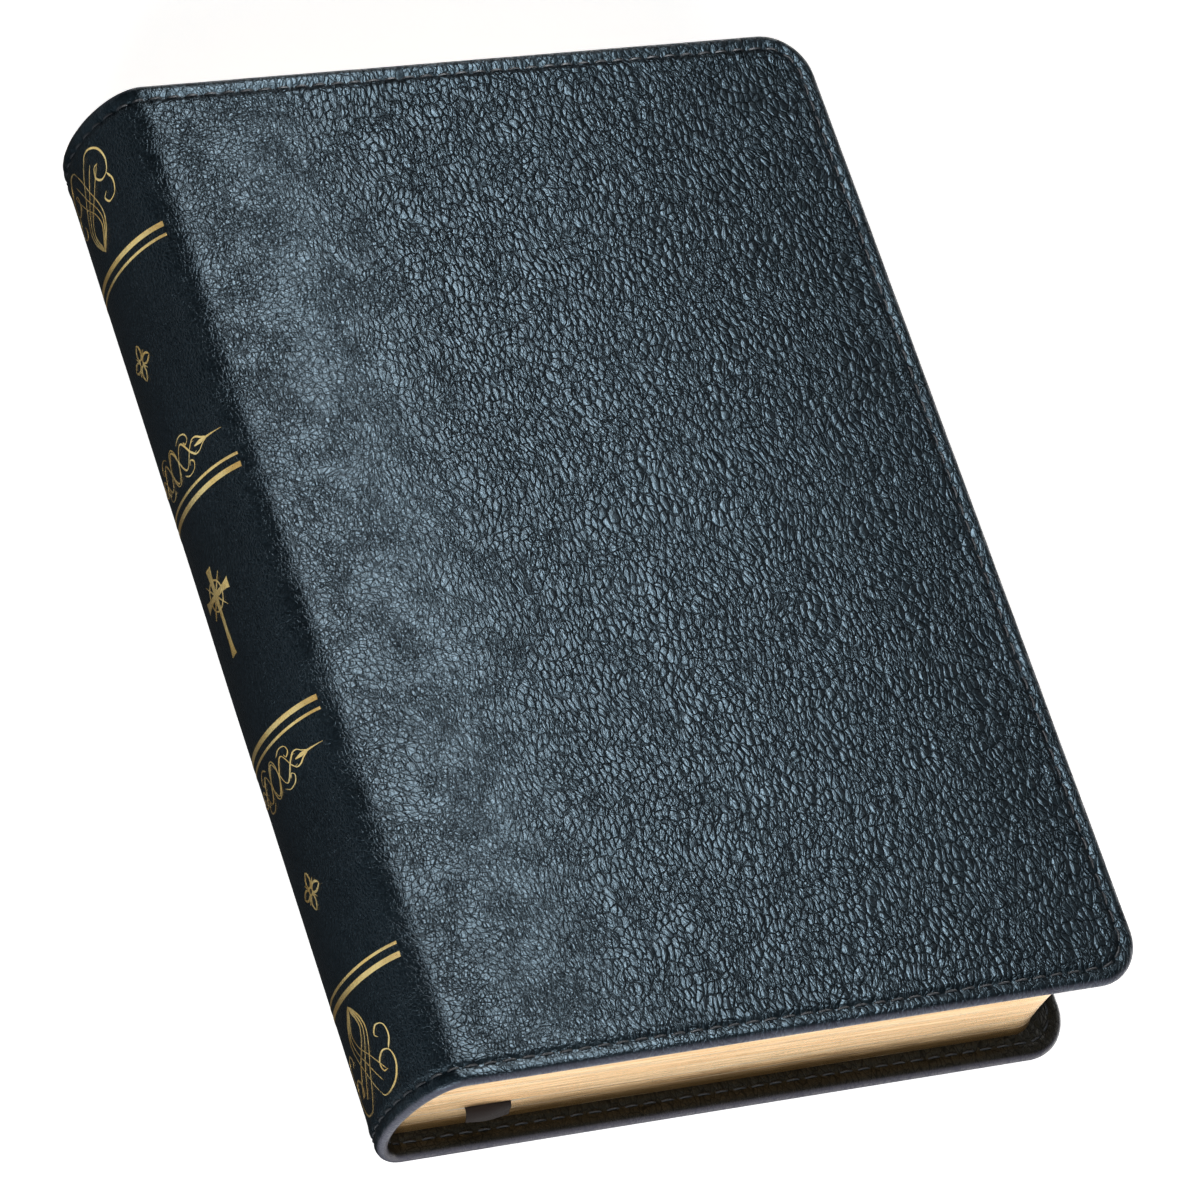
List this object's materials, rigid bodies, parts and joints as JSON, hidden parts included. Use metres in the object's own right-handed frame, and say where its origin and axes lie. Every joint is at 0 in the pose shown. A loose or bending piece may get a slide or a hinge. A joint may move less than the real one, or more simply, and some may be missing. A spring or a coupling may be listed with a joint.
{
  "type": "bible",
  "caption": "Thick devotional book with a flexible stitched leather case, rounded spine with gold foil rules and ornaments, gilt-edged sewn pages and a ribbon marker.",
  "frame": {"origin": "middle of the back cover's outer face, which is the lowest face at rest", "axes": "+Y along the spine towards the head of the pages, +X from the spine to the fore-edge, +Z from the back cover to the front cover"},
  "size_m": [0.16, 0.22, 0.038],
  "materials": {
    "leather": "satin",
    "cover_board": "matte",
    "lining": "satin",
    "stitching": "matte",
    "foil": "polished",
    "linen": "matte",
    "pages": "matte",
    "flyleaf": "matte",
    "ribbon": "satin"
  },
  "bodies": {
    "back_block": {"back_joint_leather": "leather", "back_flyleaf": "flyleaf", "signature_5": "pages", "signature_6": "pages", "signature_7": "pages", "signature_8": "pages", "back_sewing_thread": "linen", "ribbon_marker": "ribbon"},
    "spine": {"spine_leather": "leather", "spine_stiffener": "cover_board", "spine_mull": "linen", "spine_head_stitching": "stitching", "spine_tail_stitching": "stitching", "spine_rule_1": "foil", "spine_rule_2": "foil", "spine_rule_3": "foil", "spine_rule_4": "foil", "spine_rule_5": "foil", "spine_rule_6": "foil", "spine_rule_7": "foil", "spine_rule_8": "foil", "spine_cross": "foil", "spine_upper_ornament": "foil", "spine_lower_ornament": "foil"},
    "front_block": {"front_joint_leather": "leather", "front_flyleaf": "flyleaf", "signature_1": "pages", "signature_2": "pages", "signature_3": "pages", "signature_4": "pages", "front_sewing_thread": "linen"},
    "front_cover": {"front_cover_leather": "leather", "front_cover_board": "cover_board", "front_cover_lining": "lining", "front_cover_stitching": "stitching"},
    "back_cover": {"back_cover_leather": "leather", "back_cover_board": "cover_board", "back_cover_lining": "lining", "back_cover_stitching": "stitching"},
    "leaf_1": {"leaf_1": "pages"},
    "leaf_2": {"leaf_2": "pages"}
  },
  "joints": [
    {"name": "book_opening", "type": "hinge", "parent": "back_block", "child": "spine", "pos_m": [-0.0766, 0, 0.0044], "axis": [0, -1, 0], "range_deg": [0, 90]},
    {"name": "spine_front_flex", "type": "hinge", "parent": "spine", "child": "front_block", "pos_m": [-0.0766, 0, 0.0336], "axis": [0, -1, 0], "range_deg": [0, 90]},
    {"name": "front_cover_hinge", "type": "hinge", "parent": "front_block", "child": "front_cover", "pos_m": [-0.07, 0, 0.0385], "axis": [0, -1, 0], "range_deg": [0, 180]},
    {"name": "back_cover_hinge", "type": "hinge", "parent": "back_block", "child": "back_cover", "pos_m": [-0.07, 0, -0.0023], "axis": [0, 1, 0], "range_deg": [0, 180]},
    {"name": "leaf_1_turn", "type": "hinge", "parent": "spine", "child": "leaf_1", "pos_m": [-0.076, 0, 0.01935], "axis": [0, -1, 0], "range_deg": [0, 40.5]},
    {"name": "leaf_2_turn", "type": "hinge", "parent": "spine", "child": "leaf_2", "pos_m": [-0.076, 0, 0.01865], "axis": [0, -1, 0], "range_deg": [-31.5, 0]}
  ],
  "couplings": [
    {"joint": "spine_front_flex", "follows": "book_opening", "ratio": 1},
    {"joint": "leaf_1_turn", "follows": "book_opening", "ratio": 0.45},
    {"joint": "leaf_2_turn", "follows": "book_opening", "ratio": -0.35}
  ]
}
